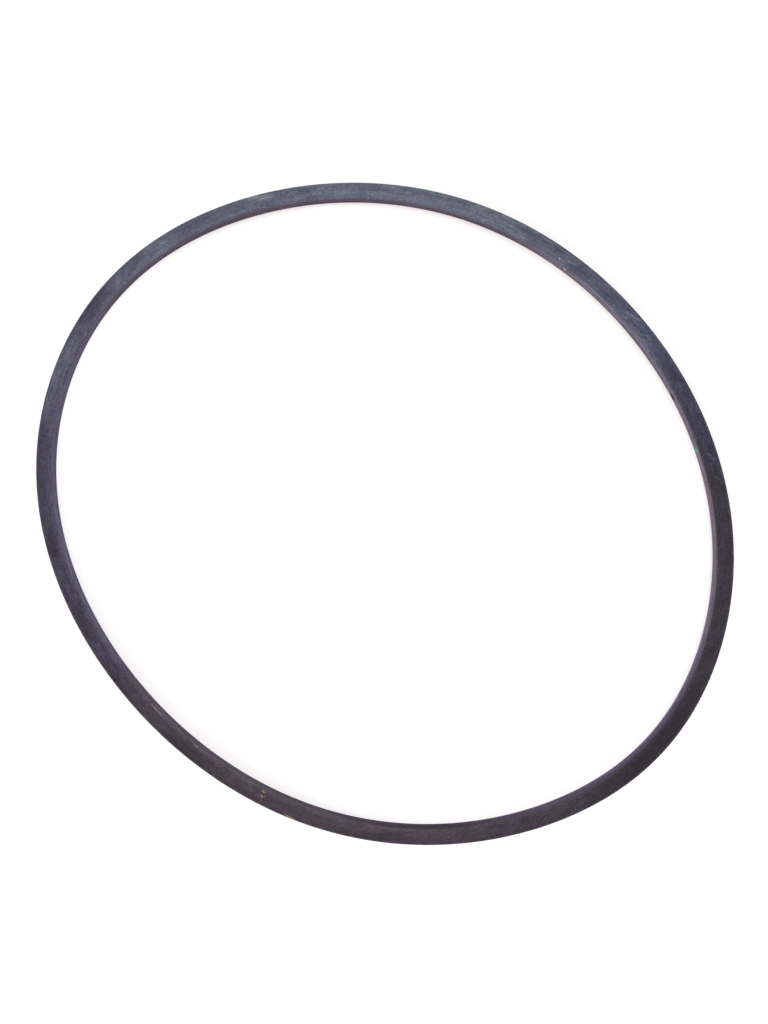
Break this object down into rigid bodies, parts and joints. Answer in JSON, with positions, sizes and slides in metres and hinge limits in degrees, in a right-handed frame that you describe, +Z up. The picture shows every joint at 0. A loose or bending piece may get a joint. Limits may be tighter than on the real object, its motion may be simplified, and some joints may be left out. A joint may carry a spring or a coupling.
{
  "type": "front pump seal",
  "caption": "Large square-cut rubber seal ring for a gearbox front pump, lying flat and a little out of round.",
  "frame": {"origin": "middle of the lying ring's outline, on its underside", "axes": "+X along the longest way across the ring, +Z up out of the upper side face"},
  "size_m": [0.2246, 0.1956, 0.0048],
  "materials": {
    "nitrile_rubber": "lathe-cut, matt with a faint greyish bloom"
  },
  "bodies": {
    "root": {"seal_ring": "nitrile_rubber"}
  },
  "joints": []
}
